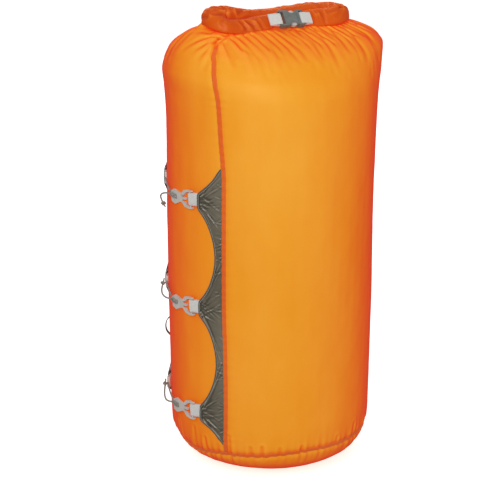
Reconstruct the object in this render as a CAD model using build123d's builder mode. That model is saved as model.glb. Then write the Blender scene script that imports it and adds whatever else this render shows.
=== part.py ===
"""Roll-top compression sack, modelled in millimetres.

The sack stands on its round base: origin at the centre of the base, +Z up, the rolled
closure runs along X with its buckle towards -Y, and the side compression is on the -X side.
"""
import os
from math import cos, pi, radians, sin, tan

from build123d import *

os.makedirs("parts", exist_ok=True)

# ---- driving dimensions (mm, degrees) ----
body_radius = 151.5
fabric = 1.5  # modelled wall, thicker than the real coated fabric
lift = 0.1  # air between a skin and what is laid on it
tape_thick = 0.7
tape_width = 7.0
seam_height = 42.0  # seam between base and walls
straight_top = 540.0  # above this the body is drawn in to the roll
base_profile = [(80.0, 0.0), (111.0, 10.0), (139.0, 30.0), (149.5, 55.0), (body_radius, 90.0)]
# height, half width along X, half depth along Y of each section of the top
top_sections = [
    (straight_top, 151.5, 151.5),
    (575.0, 158.0, 149.0),
    (605.0, 165.5, 139.0),
    (630.0, 166.0, 119.0),
    (647.0, 151.0, 92.0),
    (658.0, 130.0, 60.0),
    (668.0, 98.0, 24.0),
]
mouth_height = 665.5  # the walls are open above this, where they enter the roll
tape_top = 640.0  # the side seam tapes end just under the roll
clear_reach = 220.0  # from the axis to beyond every panel
clear_height = 900.0

seam_angle = 41.0  # side seams, either side of -X
tab_heights = {"upper": 429.0, "middle": 266.0, "lower": 102.0}
front_edge_angle = 24.5  # flap edge at the webbing tabs
rear_edge_angle = 28.0
scallop_angle = 6.3  # flap width, as an angle, midway between two tabs
flap_top = 492.0
flap_bottom = 57.0
flap_margin = 1.2  # between a flap and its seam tape
end_inset = 3.0  # the flap's pointed ends draw in by this many times an inset
end_bow = 3.0  # the flap's end edges bow in by this much
binding_width = 2.4
webbing_width = 20.0
webbing_thick = 1.2

hook_centre_angle = 11.5
hook_radius = 154.8  # from the axis to the middle plane of a hook
hook_thick = 3.0
hook_tilt = 7.0  # the cord end of each hook droops
crossbar_offset = 24.0  # from the hook's centre to its crossbar
crossbar_radius = 1.6
crossbar_play = 0.35
crossbar_half = 12.0
corner_round = 0.8
cord_diameter = 2.5

roll_centre = (4.5, -9.5, 677.0)
roll_tilt = 1.8  # the -X end of the roll stands higher
roll_half_length = 114.0
limb_depth = 34.0
limb_gap = 3.0
roll_below = 13.0
roll_above = 14.0
roll_round = 11.0
left_limb_end = -17.5
right_limb_end = 40.0
stiffener_height = 18.0
stiffener_thick = 1.2
stiffener_play = 0.2
stiffener_inset = 3.0
moving_clearance = 1.5

buckle_x = 12.0  # buckle's middle, along the roll from the roll's centre
buckle_y = -26.0
buckle_z = 0.0
buckle_lean = 46.0  # the buckle lies back against the roll
buckle_length = 39.0
buckle_height = 26.0
buckle_thick = 8.4
buckle_round = 2.5
ear_length = 8.5
ear_width = 2.5
web_bar_radius = 1.9
web_bar_inset = 2.6
mouth_x = 9.0
cavity_length = 16.0
cavity_height = 22.0
cavity_thick = 5.6
window_x = 2.2
window_radius = 6.0
window_depth = 5.2
prong_thick = 4.2
prong_width = 2.6
prong_reach = 14.0
prong_offset = 7.8
prong_head_radius = 5.5
prong_head_out = 4.3
knuckle_radius = 2.2
knuckle_inset = 1.9
guide_width = 6.0
running_gap = 0.3
grid_z = Vector(0, 0, 1)


def around(angle, radius, height):
    """A point at an angle from -X towards -Y, at a radius and a height."""
    return Vector(-radius * cos(radians(angle)), -radius * sin(radians(angle)), height)


def body_form(grow):
    """The sack's outer form, grown outwards by a distance."""
    wall = [(r + grow, z) for r, z in base_profile]
    with BuildPart() as form:
        with BuildSketch(Plane.XZ):
            with BuildLine():
                Line((0, -grow), (wall[0][0], -grow))
                Spline((wall[0][0], -grow), *wall[1:], tangents=((1, 0.35), (0, 1)))
                Line(wall[-1], (body_radius + grow, straight_top))
                Line((body_radius + grow, straight_top), (0, straight_top))
                Line((0, straight_top), (0, -grow))
            make_face()
        revolve(axis=Axis.Z)
        for height, half_x, half_y in top_sections:
            with BuildSketch(Plane.XY.offset(height + (grow if height > straight_top else 0))):
                Ellipse(half_x + grow, half_y + grow)
        loft()
    return form.part


def seam_plane(angle):
    """The upright plane through the axis at an angle from -X, facing along the skin."""
    out = around(angle, 1, 0)
    return Plane(origin=(0, 0, 0), x_dir=out, z_dir=out.cross(grid_z))


def side_wedge(angle):
    """Everything within an angle of -X."""
    reach = 2 * clear_reach
    with BuildPart() as wedge:
        with BuildSketch(Plane.XY.offset(-clear_height / 2)):
            with BuildLine():
                Polyline((0, 0), around(angle, reach, 0), around(0, reach, 0),
                         around(-angle, reach, 0), (0, 0))
            make_face()
        extrude(amount=2 * clear_height)
    return wedge.part


outer = body_form(0)
inner = body_form(-fabric)
laid_low = body_form(lift)
laid_high = body_form(lift + tape_thick)
binding_high = body_form(lift + 2 * tape_thick)
wedge = side_wedge(seam_angle)

with BuildPart() as walls:
    add(outer)
    add(inner, mode=Mode.SUBTRACT)
with BuildPart() as laid_skin:
    add(laid_high)
    add(laid_low, mode=Mode.SUBTRACT)
with BuildPart() as binding_skin:
    add(binding_high)
    add(laid_low, mode=Mode.SUBTRACT)

# ---- the bag's own panels ----
with BuildPart() as main_panel:
    add(walls.part)
    add(wedge, mode=Mode.SUBTRACT)
    split(bisect_by=Plane.XY.offset(seam_height), keep=Keep.TOP)
    split(bisect_by=Plane.XY.offset(mouth_height), keep=Keep.BOTTOM)
main_panel.part.label = "main_panel"

with BuildPart() as side_panel:
    add(walls.part)
    add(wedge, mode=Mode.INTERSECT)
    split(bisect_by=Plane.XY.offset(seam_height), keep=Keep.TOP)
side_panel.part.label = "side_panel"

with BuildPart() as base_panel:
    add(walls.part)
    split(bisect_by=Plane.XY.offset(seam_height), keep=Keep.BOTTOM)
base_panel.part.label = "base_panel"

with BuildPart() as base_seam_tape:
    add(laid_skin.part)
    with BuildSketch(Plane.XY.offset(seam_height - tape_width / 2)):
        Rectangle(2 * clear_reach, 2 * clear_reach)
    extrude(amount=tape_width, mode=Mode.INTERSECT)
base_seam_tape.part.label = "base_seam_tape"

panels = [main_panel, side_panel, base_panel, base_seam_tape]

# ---- side seams: a tape over each ----
tape_foot = seam_height + tape_width / 2
for side, angle in (("front", seam_angle), ("rear", -seam_angle)):
    with BuildPart() as seam_tape:
        add(laid_skin.part)
        with BuildSketch(seam_plane(angle)):
            with Locations((clear_reach / 2, (tape_foot + tape_top) / 2)):
                Rectangle(clear_reach, tape_top - tape_foot)
        extrude(amount=tape_width / 2, both=True, mode=Mode.INTERSECT)
    seam_tape.part.label = side + "_seam_tape"
    panels.append(seam_tape)


# ---- side flaps: scalloped, with a webbing tab at each high point ----
def flap_sketch(side, edge_angle, inset):
    """The face between the seam tape and the scalloped edge, seen along X, drawn in by an inset."""
    sign = -1 if side == "front" else 1

    def across(angle):
        return sign * body_radius * sin(radians(angle))

    tape_edge = (tape_width / 2 + flap_margin) * cos(radians(seam_angle))
    seam = across(seam_angle) - sign * tape_edge
    edge = across(edge_angle) + sign * inset
    waist = across(seam_angle - scallop_angle) + sign * inset
    bow = (waist + edge) / 2
    half = webbing_width / 2
    upper, middle, lower = tab_heights.values()
    high = flap_top - end_inset * inset
    low = flap_bottom + end_inset * inset
    with BuildSketch(Plane.XY) as face:
        with BuildLine():
            ThreePointArc((seam, high), (bow, (high + upper + half) / 2 - end_bow), (edge, upper + half))
            Line((edge, upper + half), (edge, upper - half))
            ThreePointArc((edge, upper - half), (waist, (upper + middle) / 2), (edge, middle + half))
            Line((edge, middle + half), (edge, middle - half))
            ThreePointArc((edge, middle - half), (waist, (middle + lower) / 2), (edge, lower + half))
            Line((edge, lower + half), (edge, lower - half))
            ThreePointArc((edge, lower - half), (bow, (low + lower - half) / 2 + end_bow), (seam, low))
            Line((seam, low), (seam, high))
        make_face()
    return face.sketch


for side, edge_angle in (("front", front_edge_angle), ("rear", rear_edge_angle)):
    with BuildPart() as flap_block:
        with BuildSketch(Plane.YZ):
            add(flap_sketch(side, edge_angle, binding_width))
        extrude(amount=clear_reach, dir=(-1, 0, 0))
    with BuildPart() as edge_block:
        with BuildSketch(Plane.YZ):
            add(flap_sketch(side, edge_angle, 0))
            add(flap_sketch(side, edge_angle, binding_width), mode=Mode.SUBTRACT)
        extrude(amount=clear_reach, dir=(-1, 0, 0))
    with BuildPart() as flap:
        add(laid_skin.part)
        add(flap_block.part, mode=Mode.INTERSECT)
    flap.part.label = side + "_flap"
    with BuildPart() as flap_binding:
        add(binding_skin.part)
        add(edge_block.part, mode=Mode.INTERSECT)
    flap_binding.part.label = side + "_flap_binding"
    panels += [flap, flap_binding]


# ---- webbing tabs on the flap edges ----
def hook_plane(name):
    """A hook's own plane: x towards its tab, y up along the crossbar, z out of the sack."""
    out = around(hook_centre_angle, 1, 0)
    forward = grid_z.cross(out)
    along = forward * cos(radians(hook_tilt)) + grid_z * sin(radians(hook_tilt))
    height = tab_heights[name] - crossbar_offset * sin(radians(hook_tilt))
    return Plane(origin=around(hook_centre_angle, hook_radius, height), x_dir=along, z_dir=out)


def web_loop(centre_plane, tail_point, hole_radius, width=webbing_width):
    """Webbing folded round a bar: a teardrop in section, from the bar to the tail point."""
    tail = centre_plane.to_local_coords(tail_point)
    with BuildPart() as loop:
        with BuildSketch(centre_plane):
            with BuildLine() as outline:
                CenterArc((0, 0), hole_radius + webbing_thick, 0, 360)
                CenterArc((tail.X, tail.Y), webbing_thick, 0, 360)
            make_hull(outline.edges())
            Circle(hole_radius, mode=Mode.SUBTRACT)
        extrude(amount=width / 2, both=True)
    return loop.part


tabs = []
tail_lift = 3.4  # the tail's middle above the bag's surface
tail_inset = 1.0  # degrees from the flap's edge to the tail's end
tail_rise = 1.6  # a front tail ends this much above the middle of its tab
rear_loop_angle = 24.6
rear_loop_radius = 155.6
for name, height in tab_heights.items():
    plane = hook_plane(name)
    crossbar = plane.from_local_coords((crossbar_offset, 0, 0))
    across_bar = Plane(origin=crossbar, x_dir=plane.x_dir, z_dir=plane.y_dir)
    with BuildPart() as front_web_loop:
        front_tail = around(front_edge_angle + tail_inset, body_radius + tail_lift, height + tail_rise)
        add(web_loop(across_bar, front_tail, crossbar_radius + crossbar_play))
    front_web_loop.part.label = "front_web_loop_" + name
    rear_point = around(-rear_loop_angle, rear_loop_radius, height)
    across_cord = Plane(origin=rear_point, x_dir=around(-rear_loop_angle - 90, 1, 0), z_dir=(0, 0, 1))
    with BuildPart() as rear_web_loop:
        rear_tail = around(-rear_edge_angle - tail_inset, body_radius + tail_lift, height)
        add(web_loop(across_cord, rear_tail, crossbar_radius + crossbar_play))
    rear_web_loop.part.label = "rear_web_loop_" + name
    tabs += [front_web_loop, rear_web_loop]

# a small loop of dark webbing on the rear side
side_loop_angle = -30.0
side_loop_height = 190.0
side_loop_half = 15.0
side_loop_out = 8.5
side_loop_thick = 1.6
side_loop_width = 8.0
foot = body_radius + 0.4
loop_crest = foot + side_loop_out
loop_low, loop_high = side_loop_height - side_loop_half, side_loop_height + side_loop_half
eye_low, eye_high = loop_low + 2 * side_loop_thick, loop_high - 2 * side_loop_thick
with BuildPart() as side_loop:
    with BuildSketch(seam_plane(side_loop_angle)):
        with BuildLine():
            ThreePointArc((foot, loop_low), (loop_crest, side_loop_height), (foot, loop_high))
            Line((foot, loop_high), (foot, eye_high))
            eye_crest = loop_crest - side_loop_thick
            ThreePointArc((foot, eye_high), (eye_crest, side_loop_height), (foot, eye_low))
            Line((foot, eye_low), (foot, loop_low))
        make_face()
    extrude(amount=side_loop_width / 2, both=True)
side_loop.part.label = "side_loop"
tabs.append(side_loop)

# ---- hooks: a two-armed hook with a crossbar, a tongue and a winged cord adjuster ----
hook_half_outline = [
    (-26.5, 7.6), (-18.0, 11.2), (-1.0, 6.0), (2.0, 6.6), (9.0, 12.4), (18.0, 14.0),
    (29.5, 13.4), (30.5, 10.7), (21.0, 10.9), (13.5, 8.8), (9.0, 5.0), (1.5, 4.0),
    (1.5, 2.0), (13.0, 1.8),
]
cord_slot = (-12.5, 2.6, 7.0)
hooks = []
for name in tab_heights:
    plane = hook_plane(name)
    with BuildPart() as hook:
        with BuildSketch(plane):
            with BuildLine():
                lower = [(x, -y) for x, y in reversed(hook_half_outline)]
                Polyline(*hook_half_outline, *lower, close=True)
            make_face()
            fillet(vertices(), corner_round)
            with Locations((cord_slot[0], 0)):
                SlotOverall(cord_slot[2], cord_slot[1], rotation=90, mode=Mode.SUBTRACT)
        extrude(amount=hook_thick / 2, both=True)
        with BuildSketch(Plane(origin=plane.from_local_coords((crossbar_offset, 0, 0)),
                               x_dir=plane.x_dir, z_dir=plane.y_dir)):
            Circle(crossbar_radius)
        extrude(amount=crossbar_half, both=True)
    hook.part.label = "hook_" + name
    hooks.append(hook)


# ---- compression cords ----
def cord_radii(points):
    """The radius of the arc at each corner of a route, as large as its two runs allow."""
    radii = []
    for before, here, after in zip(points, points[1:], points[2:]):
        turn = radians((here - before).get_angle(after - here))
        shorter = min((here - before).length, (after - here).length)
        radii.append(0.45 * shorter / tan(turn / 2))
    return radii


standing_start, tail_start = 4.6, 0.4  # where the two cords leave the wing, along the crossbar's direction
wing_end = -26.8
# angle from -X, radius from the axis, height above the tab
standing_route = [
    (-2.4, 156.8, -1.4), (-7.6, 155.2, -0.6), (-13.2, 154.7, 0.2), (-18.6, 155.0, 0.5), (-23.2, 155.9, 0.3),
]
tail_routes = {
    "upper": [
        (-2.3, 159.2, -6.2), (-6.0, 161.6, -8.6), (-9.6, 163.8, -12.4), (-12.2, 164.6, -17.6),
        (-12.6, 163.6, -23.4), (-11.2, 161.2, -28.6),
    ],
    "middle": [
        (-2.2, 159.4, -6.8), (-6.2, 161.8, -8.4), (-10.2, 163.6, -8.8), (-13.8, 164.4, -6.4),
        (-16.2, 163.4, -2.2), (-17.4, 161.4, 3.0),
    ],
    "lower": [
        (-2.2, 159.0, -7.6), (-6.0, 160.4, -10.6), (-10.0, 161.4, -12.6), (-13.8, 161.8, -10.8),
        (-16.6, 161.4, -6.6), (-17.8, 160.6, -1.2), (-17.6, 160.0, 4.6),
    ],
}
knot_radius = 3.0
cords = []
for name, height in tab_heights.items():
    plane = hook_plane(name)
    routes = {
        "cord_" + name: (standing_start, standing_route),
        "cord_tail_" + name: (tail_start, tail_routes[name]),
    }
    for label, (start_height, route) in routes.items():
        points = [plane.from_local_coords((wing_end, start_height, 0))]
        points += [around(angle, radius, height + rise) for angle, radius, rise in route]
        radii = cord_radii(points)
        with BuildPart() as cord:
            with BuildLine() as line:
                FilletPolyline(*points, radius=radii)
            with BuildSketch(Plane(origin=points[0], z_dir=points[1] - points[0])):
                Circle(cord_diameter / 2)
            sweep()
        cord.part.label = label
        length = line.wire().length
        volume_share = cord.part.volume / (pi * cord_diameter ** 2 / 4 * length)
        print(label, "length", round(length, 1), "volume share", round(volume_share, 4))
        print("    radii", [round(r, 1) for r in radii])
        cords.append(cord)
    with BuildPart(Plane(origin=points[-1])) as knot:
        Sphere(knot_radius)
    knot.part.label = "knot_" + name
    cords.append(knot)

# ---- rolled closure: a ring of three rolls with a stiffener inside ----
roll_frame = Plane(origin=roll_centre, x_dir=(cos(radians(roll_tilt)), 0, -sin(radians(roll_tilt))),
                   z_dir=(sin(radians(roll_tilt)), 0, cos(radians(roll_tilt))))
limb_height = roll_below + roll_above
limb_y = (limb_depth + limb_gap) / 2
limb_z = (roll_above - roll_below) / 2
turn_x = roll_half_length - limb_depth - limb_gap / 2


def roll_section(along, depth=0.0):
    """The plane square to the roll at a distance along it, at a depth; x is +Y and y is up."""
    return Plane(origin=roll_frame.from_local_coords((along, depth, limb_z)),
                 x_dir=(0, 1, 0), z_dir=roll_frame.x_dir)


with BuildPart() as roll_back:
    with BuildSketch(roll_section(-turn_x, limb_y)):
        RectangleRounded(limb_depth, limb_height, roll_round)
    extrude(amount=2 * turn_x)
    with BuildSketch(roll_section(-turn_x + stiffener_inset - 1, limb_y)):
        Rectangle(stiffener_thick + 2 * stiffener_play, stiffener_height + 2 * stiffener_play)
    extrude(amount=2 * (turn_x - stiffener_inset + 1), mode=Mode.SUBTRACT)
    add(laid_low, mode=Mode.SUBTRACT)
roll_back.part.label = "roll_back"

with BuildPart() as closure_stiffener:
    with BuildSketch(roll_section(-turn_x + stiffener_inset, limb_y)):
        Rectangle(stiffener_thick, stiffener_height)
    extrude(amount=2 * (turn_x - stiffener_inset))
closure_stiffener.part.label = "closure_stiffener"


def roll_end(side, limb_end, clear_form):
    """One turned end of the ring with its front limb, up to a distance along the roll."""
    turn_axis = Axis(roll_frame.from_local_coords((side * turn_x, 0, 0)), roll_frame.z_dir)
    with BuildPart() as end:
        with BuildSketch(roll_section(side * turn_x, -limb_y)):
            RectangleRounded(limb_depth, limb_height, roll_round)
        revolve(axis=turn_axis, revolution_arc=180 * side)
        with BuildSketch(roll_section(side * turn_x, -limb_y)):
            RectangleRounded(limb_depth, limb_height, roll_round)
        extrude(amount=limb_end - side * turn_x)
        add(clear_form, mode=Mode.SUBTRACT)
    return end.part


with BuildPart() as roll_left:
    add(roll_end(-1, left_limb_end, laid_low))
roll_left.part.label = "roll_left"
with BuildPart() as roll_right:
    add(roll_end(1, right_limb_end, body_form(moving_clearance)))
roll_right.part.label = "roll_right"

# ---- side-release buckle ----
facing = Vector(0, -cos(radians(buckle_lean)), 0) + roll_frame.z_dir * sin(radians(buckle_lean))
buckle_face = Plane(origin=roll_frame.from_local_coords((buckle_x, buckle_y, buckle_z)),
                    x_dir=roll_frame.x_dir, z_dir=facing)
half_length = buckle_length / 2
half_height = buckle_height / 2
ear_middle = half_height - ear_width / 2


def web_bar(side):
    """The round bar that the webbing folds over, at one end of the buckle."""
    bar_x = side * (half_length - web_bar_inset)
    with BuildPart() as bar:
        with BuildSketch(Plane(origin=buckle_face.from_local_coords((bar_x, -half_height + 1, 0)),
                               x_dir=buckle_face.x_dir, z_dir=buckle_face.y_dir)):
            Circle(web_bar_radius)
        extrude(amount=buckle_height - 2)
    return bar.part


with BuildPart() as buckle_socket:
    block_left = -half_length + ear_length
    with BuildSketch(buckle_face):
        with Locations(((mouth_x - half_length) / 2, 0)):
            RectangleRounded(mouth_x + half_length, buckle_height, buckle_round)
        with Locations(((block_left - half_length) / 2 - 1, 0)):
            Rectangle(ear_length + 2, buckle_height - 2 * ear_width, mode=Mode.SUBTRACT)
        with Locations((window_x, half_height + window_radius - window_depth),
                       (window_x, -half_height - window_radius + window_depth)):
            Circle(window_radius, mode=Mode.SUBTRACT)
    extrude(amount=buckle_thick / 2, both=True)
    with BuildSketch(buckle_face):
        with Locations((mouth_x - cavity_length / 2 + 0.5, 0)):
            Rectangle(cavity_length + 1, cavity_height)
        with Locations(((window_x - window_radius + mouth_x) / 2 + 0.5, 0)):
            Rectangle(mouth_x - window_x + window_radius + 1, buckle_height + 2)
    extrude(amount=cavity_thick / 2, both=True, mode=Mode.SUBTRACT)
    add(web_bar(-1))
buckle_socket.part.label = "buckle_socket"

with BuildPart() as buckle_plug:
    base_left = mouth_x + running_gap
    base_right = half_length - ear_length + 2
    with BuildSketch(buckle_face):
        with Locations(((base_left + half_length) / 2, 0)):
            RectangleRounded(half_length - base_left, buckle_height, buckle_round)
        with Locations(((base_right + half_length) / 2 + 1, 0)):
            Rectangle(half_length - base_right + 2, buckle_height - 2 * ear_width, mode=Mode.SUBTRACT)
    extrude(amount=buckle_thick / 2, both=True)
    with BuildSketch(buckle_face):
        with Locations((base_left + 1 - (cavity_length - 4) / 2, 0)):
            RectangleRounded(cavity_length - 4, guide_width, 2)
    extrude(amount=prong_thick / 2, both=True)
    knuckle_x = mouth_x + knuckle_inset
    with BuildSketch(buckle_face):
        with Locations((knuckle_x, prong_offset), (knuckle_x, -prong_offset)):
            Circle(knuckle_radius + running_gap)
        with Locations((base_left, prong_offset), (base_left, -prong_offset)):
            Rectangle(2 * knuckle_inset, prong_width + 1.8)
    extrude(amount=prong_thick / 2 + running_gap, both=True, mode=Mode.SUBTRACT)
    add(web_bar(1))
buckle_plug.part.label = "buckle_plug"

prongs = []
for name, side in (("upper", 1), ("lower", -1)):
    with BuildPart() as prong:
        with BuildSketch(buckle_face):
            with Locations((knuckle_x, side * prong_offset)):
                Circle(knuckle_radius)
            with Locations((knuckle_x - prong_reach / 2, side * prong_offset)):
                RectangleRounded(prong_reach, prong_width, 1.2)
            with BuildLine():
                head_foot = side * (prong_offset + prong_width / 2 - 0.4)
                ThreePointArc((window_x - prong_head_radius, head_foot),
                              (window_x, head_foot + side * prong_head_out),
                              (window_x + prong_head_radius, head_foot))
                Line((window_x + prong_head_radius, head_foot), (window_x - prong_head_radius, head_foot))
            make_face()
        extrude(amount=prong_thick / 2, both=True)
    prong.part.label = "prong_" + name
    prongs.append(prong)

# webbing from the ends of the roll to the buckle
webs = []
for name, side, limb_end in (("left", -1, left_limb_end), ("right", 1, right_limb_end)):
    bar = buckle_face.from_local_coords((side * (half_length - web_bar_inset), 0, 0))
    across_bar = Plane(origin=bar, x_dir=buckle_face.x_dir * side, z_dir=buckle_face.y_dir)
    reach = side * (limb_end - buckle_x) - (half_length - web_bar_inset)
    tail_end = across_bar.from_local_coords((reach - webbing_thick - 0.1, 0, 0))
    with BuildPart() as web:
        add(web_loop(across_bar, tail_end, web_bar_radius + 0.15))
    web.part.label = "web_" + name
    webs.append(web)

closure = [roll_back, closure_stiffener, roll_left, roll_right, buckle_socket, buckle_plug]
for piece in panels + tabs + hooks + cords + closure + prongs + webs:
    export_step(piece.part, "parts/" + piece.part.label + ".step")
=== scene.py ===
import math
import random

import bmesh
import bpy
import numpy as np
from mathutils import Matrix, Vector


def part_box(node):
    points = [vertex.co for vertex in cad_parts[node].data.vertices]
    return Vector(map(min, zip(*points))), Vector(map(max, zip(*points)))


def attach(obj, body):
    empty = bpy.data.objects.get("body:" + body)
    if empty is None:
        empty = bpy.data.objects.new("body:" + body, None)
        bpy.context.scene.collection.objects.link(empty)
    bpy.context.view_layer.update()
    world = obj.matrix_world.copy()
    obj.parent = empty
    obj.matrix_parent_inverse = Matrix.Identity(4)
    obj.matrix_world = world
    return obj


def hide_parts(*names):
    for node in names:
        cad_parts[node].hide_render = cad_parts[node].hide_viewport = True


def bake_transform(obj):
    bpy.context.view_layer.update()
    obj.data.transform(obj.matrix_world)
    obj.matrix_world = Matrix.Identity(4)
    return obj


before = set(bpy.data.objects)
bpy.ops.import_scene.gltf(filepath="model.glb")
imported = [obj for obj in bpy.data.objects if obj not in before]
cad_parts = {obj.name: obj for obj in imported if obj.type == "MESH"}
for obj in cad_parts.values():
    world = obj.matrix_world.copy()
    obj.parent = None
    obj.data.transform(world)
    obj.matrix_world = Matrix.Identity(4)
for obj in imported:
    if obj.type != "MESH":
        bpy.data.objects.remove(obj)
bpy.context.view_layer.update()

MM = 0.001
UP = np.array([0.0, 0.0, 1.0])

# ---- driving sizes
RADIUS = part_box("main_panel")[1].y  # of the straight body, metres
SEAM_ANGLE = 41.0  # side seams, degrees either side of -X
TAB_HEIGHTS = {name: sum(c.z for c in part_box("front_web_loop_" + name)) / 2
               for name in ("upper", "middle", "lower")}
EDGE = {"front": 27.2, "rear": 28.0}  # flap edges at the tabs, degrees from -X
# how far a flap's waists stop short of its seam, and how far its tips reach past it, degrees
SCALLOP, TIP_OVER = 3.9, 0.6
FLAP_TOP, FLAP_BOTTOM = 484 * MM, 57 * MM
WEBBING_WIDTH = 20 * MM
CORD_DIAMETER = 2.5 * MM
# half width along X, half depth along Y, height and middle along X: the sack's outline, in millimetres
PROFILE = [
    (0, 0, 0, 0), (42, 42, 0, 0), (80, 80, 0.6, 0), (111, 111, 10, 0), (138.5, 138.5, 30, 0),
    (148.5, 148.5, 55, 0), (151.5, 151.5, 90, 0), (152.3, 152, 200, 0), (153.2, 152.5, 330, 0.3),
    (155, 152.3, 460, 0.8), (156.4, 151.5, 530, 1.8), (159.5, 148, 578, 2.6), (163.3, 140, 604, 3.4),
    (163.6, 131, 617, 5.6), (161.8, 117, 632, 9), (155, 99, 643, 8.1), (141.5, 76, 653, 4.6),
    (125, 52, 661, -2), (112, 28, 667, -4), (100, 15, 675, -4), (60, 3, 679, -2),
]


# ---- small tools
def smooth(x, low, high):
    """0 below low, 1 above high, and a smooth step between."""
    t = np.clip((np.asarray(x, float) - low) / (high - low), 0, 1)
    return t * t * (3 - 2 * t)


def monotone(x, xs, ys):
    """A smooth curve through points, with no overshoot between them."""
    xs, ys = np.asarray(xs, float), np.asarray(ys, float)
    step = np.diff(xs)
    rise = np.diff(ys) / step
    slope = np.zeros(len(xs))
    slope[0], slope[-1] = rise[0], rise[-1]
    same = rise[:-1] * rise[1:] > 0
    slope[1:-1][same] = 2 * rise[:-1][same] * rise[1:][same] / (rise[:-1][same] + rise[1:][same])
    i = np.clip(np.searchsorted(xs, x) - 1, 0, len(step) - 1)
    t = (x - xs[i]) / step[i]
    return ((2 * t**3 - 3 * t**2 + 1) * ys[i] + (t**3 - 2 * t**2 + t) * step[i] * slope[i]
            + (3 * t**2 - 2 * t**3) * ys[i + 1] + (t**3 - t**2) * step[i] * slope[i + 1])


def waves(points, scale, seed, layers=4):
    """Smooth noise from a few sums of sines, about -1 to 1."""
    rng = np.random.default_rng(seed)
    total = np.zeros(points.shape[:-1])
    for layer in range(layers):
        for _ in range(4):
            direction = rng.normal(size=3)
            direction *= 2 * math.pi * 1.7**layer / scale / np.linalg.norm(direction)
            total += np.sin(points @ direction + rng.uniform(0, 2 * math.pi)) / 1.7**layer / 4
    return total


def unit(v):
    """Vectors scaled to length 1."""
    return v / np.maximum(np.linalg.norm(v, axis=-1, keepdims=True), 1e-12)


def linked(name, data):
    """A new object in the scene."""
    made = bpy.data.objects.new(name, data)
    bpy.context.scene.collection.objects.link(made)
    return made


def make_object(name, points, faces, uv=None):
    """A mesh object; uv holds one pair for each corner of each face, in order."""
    mesh = bpy.data.meshes.new(name)
    mesh.from_pydata([tuple(p) for p in np.asarray(points, float)], [], faces)
    if uv is not None:
        layer = mesh.uv_layers.new(name="cloth")
        layer.data.foreach_set("uv", np.asarray(uv, np.float32).ravel())
    mesh.polygons.foreach_set("use_smooth", [True] * len(mesh.polygons))
    mesh.update()
    return linked(name, mesh)


def paint_folds(made, heights, full):
    """Stores how deep in a fold (0) or how high on one (1) each point is, for the painted shade in fold
    valleys and the painted highlight on fold crests.
    """
    layer = made.data.attributes.new("fold", "FLOAT", "POINT")
    values = np.full(len(made.data.vertices), 0.5, np.float32)
    values[:len(heights)] = np.clip(0.5 + heights / full / 2, 0, 1)
    layer.data.foreach_set("value", values)


def grid_object(name, grid, uv, closed=False):
    """A mesh from rows and columns of points; uv has the same ones, and one more column when closed."""
    rows, columns = grid.shape[:2]
    r, c = np.meshgrid(np.arange(rows - 1), np.arange(columns if closed else columns - 1), indexing="ij")
    after, low, high = (c + 1) % columns, r * columns, (r + 1) * columns
    quads = np.stack([low + c, low + after, high + after, high + c], -1)
    corner_uv = np.stack([uv[r, c], uv[r, c + 1], uv[r + 1, c + 1], uv[r + 1, c]], -2)
    return make_object(name, grid.reshape(-1, 3), quads.reshape(-1, 4).tolist(), corner_uv)


def joined(name, made):
    """Several mesh objects as one."""
    bpy.ops.object.select_all(action="DESELECT")
    for piece in made:
        piece.select_set(True)
    bpy.context.view_layer.objects.active = made[0]
    bpy.ops.object.join()
    made[0].name = name
    return made[0]


def along(points):
    """Distance along a line of points."""
    return np.concatenate([[0], np.cumsum(np.linalg.norm(np.diff(points, axis=0), axis=1))])


def resampled(points, step):
    """The same line with evenly spaced points."""
    d = along(points)
    even = np.linspace(0, d[-1], max(2, int(round(d[-1] / step)) + 1))
    return np.stack([np.interp(even, d, points[:, k]) for k in range(3)], 1)


def spline_points(name, points):
    """Points on the smooth NURBS line of a cord's route, whose control points are the route's."""
    curve = bpy.data.curves.new(name + "_line", "CURVE")
    curve.dimensions = "3D"
    spline = curve.splines.new("NURBS")
    spline.points.add(len(points) - 1)
    for knot, p in zip(spline.points, points):
        knot.co = (*p, 1)
    spline.order_u = 3
    spline.use_endpoint_u = True
    spline.resolution_u = 24
    line = linked(name + "_line", curve)
    mesh = bpy.data.meshes.new_from_object(line)
    found = np.array([v.co for v in mesh.vertices])
    bpy.data.objects.remove(line)
    return found


def transported(points):
    """Two directions square to a line at each of its points, turning as little as they can."""
    ahead = unit(np.gradient(points, axis=0))
    first = np.cross(ahead[0], UP)
    if np.linalg.norm(first) < 0.1:
        first = np.cross(ahead[0], [1.0, 0, 0])
    side = [unit(first)]
    for direction in ahead[1:]:
        side.append(unit(side[-1] - direction * (side[-1] @ direction)))
    side = np.array(side)
    return side, np.cross(ahead, side)


def tube_object(name, grid, uv=None):
    """A tube from rings of points, with one face over each end."""
    if uv is None:
        lengths = np.linalg.norm(np.roll(grid, -1, 1) - grid, axis=2).mean(0)
        u = np.concatenate([[0], np.cumsum(lengths)])
        uv = np.stack(np.broadcast_arrays(u[None, :], along(grid.mean(1))[:, None]), -1)
    made = grid_object(name, grid, uv, closed=True)
    columns = grid.shape[1]
    mesh = bmesh.new()
    mesh.from_mesh(made.data)
    corners = list(mesh.verts)
    mesh.faces.new(corners[:columns][::-1])
    mesh.faces.new(corners[-columns:])
    bmesh.ops.recalc_face_normals(mesh, faces=mesh.faces)
    mesh.to_mesh(made.data)
    mesh.free()
    return made


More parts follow.
